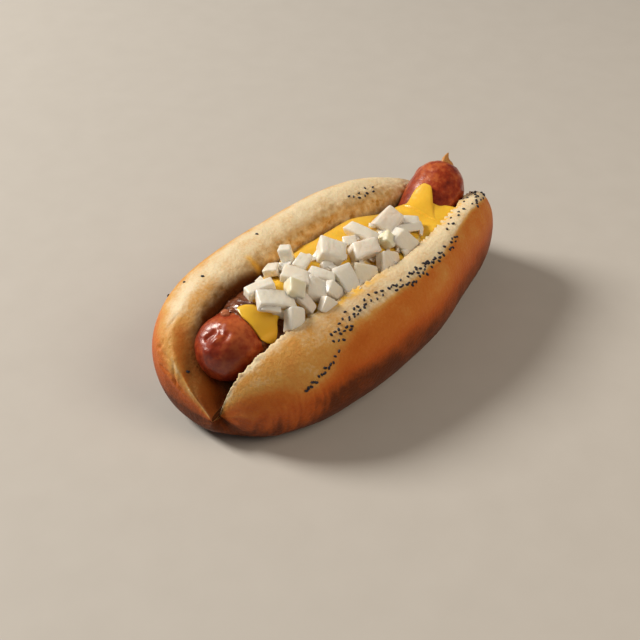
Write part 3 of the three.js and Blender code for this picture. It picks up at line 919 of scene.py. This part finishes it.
# %% Finish of the frankfurter
frank_finish, tree, shader = new_finish(
    "smoked_casing",
    {
        "Roughness": 0.34, "Specular IOR Level": 0.35, "Coat Weight": 0.3, "Coat Roughness": 0.18,
        "Subsurface Weight": 0.08, "Subsurface Radius": (1, 0.25, 0.12), "Subsurface Scale": 0.002,
    },
)
smoke = reckoned(tree, spots(tree, 55, 4), rescaled(tree, spots(tree, 420, 3), 0.3, 0.7, -0.12, 0.12))
casing = colour_ramp(
    tree, smoke, [(0.3, (0.17, 0.013, 0.004)), (0.5, (0.33, 0.042, 0.010)), (0.7, (0.54, 0.13, 0.034))]
)
speck = rescaled(tree, cells(tree, 800), 0.0, 0.2, 0.3, 0)
casing = blended(tree, speck, casing, (0.54, 0.19, 0.08))
# Painted shade on the casing: its flank away from the window lamp, and the hollows round the tie
for area, strength, red in (("flank", 0.75, (0.12, 0.010, 0.003)), ("tie", 0.55, (0.26, 0.03, 0.012))):
    casing = blended(tree, reckoned(tree, stored(tree, area), strength, "MULTIPLY"), casing, red)
skin = bumped(tree, spots(tree, 1500, 3), 0.00010)
surfaced(tree, shader, casing, bumped(tree, spots(tree, 300, 3), 0.0003, skin))
add_piece("smoked_frankfurter", frank_mesh, frank_finish, node="frankfurter")


# %% The wisp of casing
def tapered_tuft(points, radii, around, seed):
    """A closed twisted tuft along a few points, its rings folded like wrung casing."""
    line = np.array(points, float)
    rings = []
    for i, (centre, size) in enumerate(zip(line, radii)):
        run = line[min(i + 1, len(line) - 1)] - line[max(i - 1, 0)]
        run /= np.linalg.norm(run)
        side = np.cross(run, (0.3, 1, 0.1))
        side /= np.linalg.norm(side)
        over = np.cross(run, side)
        angle = 2 * math.pi * np.arange(around) / around + 0.35 * i
        folded = size * (1 + 0.3 * np.sin(3 * angle + seed))
        outward_to = np.cos(angle)[:, None] * side + np.sin(angle)[:, None] * over
        rings.append(centre + folded[:, None] * outward_to)
    points = np.concatenate([*rings, [line[0], line[-1]]])
    return points, tube_faces(len(rings), around)


def joined(parts):
    """Joins several closed shapes, each given as points and faces, into one."""
    points, faces, start = [], [], 0
    for part_points, part_faces in parts:
        points.append(part_points)
        faces += [tuple(start + v for v in face) for face in part_faces]
        start += len(part_points)
    return np.concatenate(points), faces


wisp_run = np.array(WISP_TIP) - np.array(WISP_AT)
wisp_bow = np.array([-0.45, 0.54, 0])
wisp_share = np.linspace(-0.3, 1, 10)[:, None]
wisp_line = np.array(WISP_AT) + wisp_run * wisp_share + wisp_bow * np.sin(math.pi * wisp_share)
wisp_radii = WISP_RADIUS * np.array([1.6, 1.6, 1.55, 1.4, 1.2, 1.0, 0.8, 0.55, 0.34, 0.1])
wisp_mesh = solid_mesh("casing_wisp", *tapered_tuft(wisp_line, wisp_radii, 14, 1))
wisp_finish, tree, shader = new_finish("browned_casing", {"Roughness": 0.4, "Coat Weight": 0.4})
surfaced(tree, shader, blended(tree, spots(tree, 700), (0.50, 0.17, 0.03), (0.70, 0.38, 0.12)))
add_piece("casing_wisp", wisp_mesh, wisp_finish)


# %% The nub
def ball_points(centre, radius, divisions=4):
    shape = bmesh.new()
    bmesh.ops.create_icosphere(shape, subdivisions=divisions, radius=radius)
    points = np.array([v.co[:] for v in shape.verts]) + centre
    faces = [tuple(v.index for v in f.verts) for f in shape.faces]
    shape.free()
    return points, faces


nub_points, nub_faces = ball_points(NUB_AT, NUB_RADIUS)
nub_mesh = solid_mesh("casing_nub", nub_points, nub_faces)
raise_skin(nub_mesh, nub_points, 0.35 * relief(nub_points, 1.6, 2, seed=16) - 0.1)
nub_finish, tree, shader = new_finish(
    "wet_casing", {"Roughness": 0.25, "Coat Weight": 0.8, "Coat Roughness": 0.12}
)
surfaced(tree, shader, blended(tree, spots(tree, 500), (0.40, 0.08, 0.03), (0.58, 0.22, 0.10)))
add_piece("casing_nub", nub_mesh, nub_finish)

# %% [markdown]
# ## The dressing
# Meat sauce fills the groove beside the frankfurter and arches over it, and melted
# cheese sauce runs over the meat. Both are layers round the frankfurter: a point is given
# by its place along the bun, its angle from straight up and its height over the meat. One
# function gives the level of the meat, so every layer above follows the one below it.
# Each layer is then cut by the bun and the frankfurter, to end at their surfaces, and a
# scrap that a cut leaves beyond a wall is dropped.

# %% Sizes of the dressing
# Levels of the meat: x, height on the low side, height on the tall side. Edges of a layer:
# x, and the angles of its low and tall edge
MEAT_DEPTH = 1.6
MEAT_REACH = 27
MEAT_LEVELS = [(-60, 28, 30), (-50, 36, 38), (-20, 39, 39), (20, 39, 34), (36, 40, 28), (50, 40, 28)]
MEAT_EDGES = [
    (-60, -120, 110), (24, -120, 110), (36, -120, 50), (44, -120, 30), (48, -120, 0), (52, -120, -36)
]
CHEESE_DEPTH = 2.4
CHEESE_EDGES = [
    (-60, -60, -10), (-58, -72, 6), (-55.5, -76, 2), (-53.5, -66, -8), (-51, -50, -16),
    (-47.5, -46, -10), (-43, -50, 12), (-37, -68, 30), (-30, -74, 42), (0, -76, 70),
    (20, -78, 68), (27, -78, 62), (36, -78, 58), (44, -78, 44), (47.5, -78, 23),
    (50, -78, 14), (52, -78, -10), (54, -78, -38), (56.5, -78, -52), (58, -78, -64),
]
PEAK_EDGES = [(44, -46, 20), (50, -36, 18), (54, -25, 16), (56.5, -18, 11), (58.2, -12, 0)]
HEAP_DEPTH = 1.6
HEAP_EDGES = [
    (-52, -38, 2), (-44, -62, 12), (-36, -68, 20), (-24, -70, 26),
    (-12, -68, 0), (4, -68, -6), (20, -66, -9), (34, -45, -18),
]
CHEESE_LIFT = SKIN_GAP + CHEESE_DEPTH
HEAP_LIFT = CHEESE_LIFT + SKIN_GAP + HEAP_DEPTH
print("cheese from x", CHEESE_EDGES[0][0], "to", CHEESE_EDGES[-1][0])


# %% Points and grids of a layer
def dressing(x, angle, lift):
    """Distance from the frankfurter's centre line to the dressing, lifted over the meat."""
    _, z, radius, _ = frank_line(x)
    start, end = MEAT_LEVELS[0][0], MEAT_LEVELS[-1][0]
    ends = eased(start, start + 8, x) * (1 - eased(end - 8, end, x))
    side = eased(-60, 60, angle)
    level = mixed(along(MEAT_LEVELS, 1, x), along(MEAT_LEVELS, 2, x), side)
    lumps = 0.5 * np.sin(0.42 * x + 0.06 * angle) + 0.4 * np.sin(0.23 * x - 0.1 * angle)
    up = np.maximum(0.28, np.cos(np.radians(angle)))
    filled = np.minimum(MEAT_REACH, (level + lumps - z) / up)
    return soft_max(radius + MEAT_DEPTH * ends, filled, 2.5) + lift


def dressing_points(x, angle, lift):
    y, z, _, _ = frank_line(x)
    reach = dressing(x, angle, lift)
    turn = np.radians(angle)
    return np.stack([x + 0 * reach, y + reach * np.sin(turn), z + reach * np.cos(turn)], -1)


def layer_grid(edges, top_lift, under_lift, stations, across, taper=4):
    """Rings of a layer: its underside and then its top, thinning out at every edge."""
    start, end = edges[0][0], edges[-1][0]
    share = 0.5 - 0.5 * np.cos(math.pi * (np.arange(stations) + 0.6) / (stations + 0.2))
    x = mixed(start, end, share)[:, None]
    low, tall = along(edges, 1, x), along(edges, 2, x)
    v = -np.cos(math.pi * np.arange(across) / (across - 1))[None, :]
    v = 0.5 * v + 0.5 * np.linspace(-1, 1, across)[None, :]
    angle = mixed(low, tall, 0.5 + 0.5 * v)
    thin = np.minimum(1, taper * np.sqrt(share * (1 - share)))[:, None]
    lens = thin * np.sqrt(np.maximum(0, 1 - v**4))
    upper = dressing_points(x + 0 * angle, angle, top_lift * mixed(0.3, 1, lens))
    lower = dressing_points(x + 0 * angle, angle, under_lift)
    rings = np.concatenate([lower, upper[:, ::-1]], 1)
    ends = np.stack([rings[0].mean(0), rings[-1].mean(0)])
    ends[:, 0] += (-0.1, 0.1)
    top = np.zeros(rings.shape[:2], bool)
    top[:, across:] = True
    points = np.concatenate([rings.reshape(-1, 3), ends])
    return points, tube_faces(stations, 2 * across), np.concatenate([top.ravel(), [False, False]])


# %% Cutting a layer by its neighbours
def drop_scraps(mesh):
    """Keeps the largest body of a mesh, and drops the bits that a cut has left beside it."""
    shape = bmesh.new()
    shape.from_mesh(mesh)
    bodies, seen = [], set()
    for start in shape.verts:
        if start in seen:
            continue
        body, waiting = [], [start]
        seen.add(start)
        while waiting:
            corner = waiting.pop()
            body.append(corner)
            for edge in corner.link_edges:
                other = edge.other_vert(corner)
                if other not in seen:
                    seen.add(other)
                    waiting.append(other)
        bodies.append(body)
    bodies.sort(key=len)
    bmesh.ops.delete(shape, geom=[corner for body in bodies[:-1] for corner in body], context="VERTS")
    shape.to_mesh(mesh)
    shape.free()


def combined(mesh, others, operation):
    """Cuts a closed mesh by others, or joins them to it, and returns the mesh that is left."""
    made = placed("to_change", mesh)
    tools = []
    for other in others:
        tool = placed("tool", other)
        modifier = made.modifiers.new("change", "BOOLEAN")
        modifier.operation = operation
        modifier.solver = "MANIFOLD"
        modifier.object = tool
        tools.append(tool)
    evaluated = made.evaluated_get(bpy.context.evaluated_depsgraph_get())
    result = bpy.data.meshes.new_from_object(evaluated)
    result.name = mesh.name
    for used in (made, *tools):
        bpy.data.objects.remove(used)
    drop_scraps(result)
    return result


# %% Meat sauce
MEAT_SUNK = 12
meat_points, meat_faces, meat_top = layer_grid(MEAT_EDGES, 0.001, -MEAT_SUNK, 210, 90)
meat_mesh = solid_mesh("meat_sauce", meat_points, meat_faces)
grains = np.maximum(-0.4, relief(meat_points, 3.2, 3, seed=21))
lumpy = (0.75 * grains + 0.3 * relief(meat_points, 1.3, 2, seed=22)) * meat_top
bare = eased(-40, -50, meat_points[:, 0])
lumpy = np.where(lumpy > 0, lumpy * mixed(0.35, 1.0, bare), lumpy)
raise_skin(meat_mesh, meat_points, lumpy)
meat_mesh = combined(meat_mesh, (bun_mesh, frank_mesh), "DIFFERENCE")

meat_finish, tree, shader = new_finish(
    "simmered_meat", {"Roughness": 0.28, "Coat Weight": 0.8, "Coat Roughness": 0.12}
)
MEAT_BROWNS = [(0.3, (0.07, 0.016, 0.005)), (0.55, (0.18, 0.046, 0.014)), (0.75, (0.30, 0.10, 0.035))]
meat_colour = colour_ramp(tree, spots(tree, 330, 4), MEAT_BROWNS)
surfaced(tree, shader, meat_colour, bumped(tree, spots(tree, 900, 3), 0.0006))
add_piece("meat_dressing", meat_mesh, meat_finish, node="meat_sauce")

# %% Cheese sauce
def cheese_layer(edges, stations, across, taper):
    points, faces, top = layer_grid(edges, CHEESE_LIFT, 0.2, stations, across, taper)
    mesh = solid_mesh("cheese_sauce", points, faces)
    raise_skin(mesh, points, 0.35 * relief(points, 11, 2, seed=31) * top)
    return mesh


peak_mesh = cheese_layer(PEAK_EDGES, 70, 50, 4)
cheese_mesh = combined(cheese_layer(CHEESE_EDGES, 280, 110, 2.2), [peak_mesh], "UNION")
cheese_mesh = combined(cheese_mesh, (bun_mesh, frank_mesh), "DIFFERENCE")
cheese_mesh.shade_smooth()

cheese_finish, tree, shader = new_finish(
    "melted_cheese",
    {
        "Roughness": 0.3, "Coat Weight": 0.5, "Coat Roughness": 0.15,
        "Subsurface Weight": 0.25, "Subsurface Radius": (1, 0.6, 0.15), "Subsurface Scale": 0.003,
    },
)
cheese_colour = blended(tree, spots(tree, 70, 3), (0.90, 0.47, 0.020), (0.93, 0.57, 0.055))
surfaced(tree, shader, cheese_colour, bumped(tree, spots(tree, 160, 2), 0.0004))
add_piece("cheese_pour", cheese_mesh, cheese_finish, node="cheese_sauce")

# %% [markdown]
# ## The diced onion
# Raw onion cut into dice: flat wet faces, soft corners, a little out of square, and
# translucent, so that the cheese glows through the thin ones. The largest pieces lie
# where they lie on the real one. Each is a box with strayed corners, bent a little like
# the layer of onion that it was cut from, bevelled, and laid on the dressing. A thin
# layer of crushed onion lies under them.

# %% Where the pieces of onion lie
# Each piece: x, angle, its length, width and thickness, and its turn in degrees
DICE = [
    (-48.5, -5, 13, 5, 4, -25), (-33.5, -15, 11, 7, 4, -60), (-26, 13, 6, 5, 8, 40),
    (-36.5, 8, 7, 6, 4, 30), (-25.5, -6, 8, 6, 4, 10), (-12.5, -17, 10, 10, 7, 38),
    (0, -36, 12, 8, 7, -25), (-17, -51, 11.5, 8, 5, 84), (-39.5, -30, 7, 7, 6, -52),
    (-31, -42, 9, 9, 5, -52), (-49, -24, 15, 8, 3, -35), (-38.5, -46, 10, 5, 4, 95),
    (-47.5, -55, 9, 8, 5, 60), (-24, -57, 12, 6, 3, -52), (-32.5, -62, 9, 6, 4, -50),
    (-24.5, -32, 11, 5, 4, -55), (-7.5, -56, 11, 9, 5, -40), (-53, -32, 8, 3, 2.5, -45),
    (7, -17, 13, 5, 4, -75), (22.5, -20, 13, 9, 5, 5), (27, -36, 14, 4, 4, -22),
    (13.5, -42, 6, 6, 6, 20), (19.5, -54.5, 14, 8, 5, -70), (-1, -17, 6, 4, 3, -40),
    (5.5, -60, 13, 8, 4, -30), (32.5, -26, 8, 5, 3, -40),
]
DICE_SKEW = 0.12
DICE_TILT = 11
print("onion pieces:", len(DICE))

# %% One piece of onion
CORNERS = [
    (1, 1, 1), (1, 1, -1), (1, -1, 1), (1, -1, -1), (-1, 1, -1), (-1, 1, 1), (-1, -1, -1), (-1, -1, 1),
]
FACES = [(0, 1, 3, 2), (5, 7, 6, 4), (0, 5, 4, 1), (2, 3, 6, 7), (0, 2, 7, 5), (1, 4, 6, 3)]


def onion_piece(size, strays, bevel=0.9):
    """Points and faces of one piece about its centre, bevelled and finely divided."""
    shape = bmesh.new()
    corners = [
        shape.verts.new([(0.5 * c + s) * length for c, s, length in zip(corner, stray, size)])
        for corner, stray in zip(CORNERS, strays)
    ]
    for face in FACES:
        shape.faces.new([corners[i] for i in face])
    width = min(bevel, 0.17 * min(size))
    bmesh.ops.bevel(
        shape, geom=shape.edges[:], offset=width, segments=3, profile=0.5, affect="EDGES"
    )
    long_edges = [e for e in shape.edges if e.calc_length() > 2]
    bmesh.ops.subdivide_edges(shape, edges=long_edges, cuts=4, use_grid_fill=True)
    bmesh.ops.recalc_face_normals(shape, faces=shape.faces)
    shape.verts.index_update()
    points = np.array([v.co[:] for v in shape.verts])
    faces = [[v.index for v in f.verts] for f in shape.faces]
    shape.free()
    return points, faces


def turn_matrix(axis, degrees):
    return np.array(Matrix.Rotation(math.radians(degrees), 3, axis))


# %% All pieces, laid on the dressing
onion_parts, onion_tint = [], []
draw = random_source(11)
for number, (x, angle, length, width, thickness, turn) in enumerate(DICE):
    strays = [[(2 * next(draw) - 1) * DICE_SKEW for _ in range(3)] for _ in CORNERS]
    points, faces = onion_piece((length, width, thickness), strays)
    points[:, 2] -= 0.012 * points[:, 0] ** 2
    outwards = points / np.linalg.norm(points, axis=1, keepdims=True)
    points += 0.22 * relief(points + 40 * number, 3, 2, seed=41)[:, None] * outwards
    tilts = [(2 * next(draw) - 1) * DICE_TILT for _ in range(2)]
    for axis, degrees in (("Z", turn), ("X", tilts[0]), ("Y", tilts[1]), ("X", -angle)):
        points = points @ turn_matrix(axis, degrees).T
    place, lean = np.array([float(x)]), np.array([float(angle)])
    centre = dressing_points(place, lean, HEAP_LIFT + 0.3 * thickness)[0]
    onion_parts.append((points + centre, faces))
    onion_tint.append(np.full(len(points), (number * 0.618) % 1))

onion_points, onion_faces = joined(onion_parts)
onion_mesh = solid_mesh("diced_onion", onion_points, onion_faces)
store(onion_mesh, "tint", np.concatenate(onion_tint))
print("onion rises to", round(float(onion_points[:, 2].max()), 1), "mm")


# %% Finish of the onion
MILKY = (0.96, 0.86, 0.72)
PEARL = (0.97, 0.91, 0.80)
BLUSH = (0.95, 0.80, 0.67)
STRAW = (0.95, 0.88, 0.60)


def onion_finish(name, shade):
    """Wet translucent onion, its colour taken from a number between 0 and 1."""
    settings = {
        "Roughness": 0.3, "IOR": 1.36, "Coat Weight": 0.3, "Coat Roughness": 0.12,
        "Subsurface Weight": 0.5, "Subsurface Radius": (1, 0.85, 0.7), "Subsurface Scale": 0.003,
    }
    material, tree, shader = new_finish(name, settings)
    tints = [(0.0, MILKY), (0.35, PEARL), (0.6, MILKY), (0.8, BLUSH), (1.0, STRAW)]
    base = colour_ramp(tree, shade(tree), tints)
    cloudy = rescaled(tree, spots(tree, 260, 3), 0.35, 0.65, 0, 0.4)
    milky = blended(tree, cloudy, base, (0.98, 0.94, 0.86))
    surfaced(tree, shader, milky, bumped(tree, spots(tree, 500, 3), 0.0004))
    return material, tree, shader


raw_onion, tree, shader = onion_finish("raw_onion", lambda tree: stored(tree, "tint"))
shader.inputs["Transmission Weight"].default_value = 0.08
add_piece("onion_dice", onion_mesh, raw_onion, node="diced_onion")

# %% Crushed onion under the pieces
core_points, core_faces, core_top = layer_grid(HEAP_EDGES, HEAP_LIFT, 0.5, 120, 60)
core_mesh = solid_mesh("crushed_onion", core_points, core_faces)
core_lumps = (0.7 * relief(core_points, 4, 3, seed=51) - 0.3) * core_top
raise_skin(core_mesh, core_points, core_lumps)
core_mesh = combined(core_mesh, (cheese_mesh, bun_mesh, frank_mesh), "DIFFERENCE")
crushed, tree, shader = onion_finish("crushed_onion_in_cheese", lambda tree: spots(tree, 200))
flooded = rescaled(tree, spots(tree, 150, 2), 0.36, 0.46)
pale = shader.inputs["Base Color"].links[0].from_socket
surfaced(tree, shader, blended(tree, flooded, pale, (0.90, 0.52, 0.05)))
add_piece("crushed_onion", core_mesh, crushed)

# %% [markdown]
# ## Small bits of onion
# Chopping also leaves crumbs of onion, which lie between the pieces. They repeat, so the
# tree of nodes that scattered the seeds scatters them too, on random points of the heap.

# %% Bits between the pieces
ONION_BITS = 90
chance = np.random.default_rng(5)
bit_x = chance.uniform(-49, 31, ONION_BITS)
bit_share = chance.uniform(0.06, 0.94, ONION_BITS)
bit_angle = mixed(along(HEAP_EDGES, 1, bit_x), along(HEAP_EDGES, 2, bit_x), bit_share)
bit_points = dressing_points(bit_x, bit_angle, HEAP_LIFT + chance.uniform(-0.2, 1.0, ONION_BITS))
bit_out = bit_points - dressing_points(bit_x, bit_angle, 0) + chance.normal(0, 1.1, (ONION_BITS, 3))
bit_strays = chance.uniform(-0.16, 0.16, (8, 3))
bit_mesh = solid_mesh("onion_bit", *onion_piece((1.2, 0.8, 0.5), bit_strays, 0.12))
store(bit_mesh, "tint", np.full(len(bit_mesh.vertices), 0.3))
bits_mesh = scattered("onion_bits", bit_points, bit_out, bit_mesh, (2.0, 4.2), 8, raw_onion)
add_piece("onion_bits", bits_mesh, raw_onion)
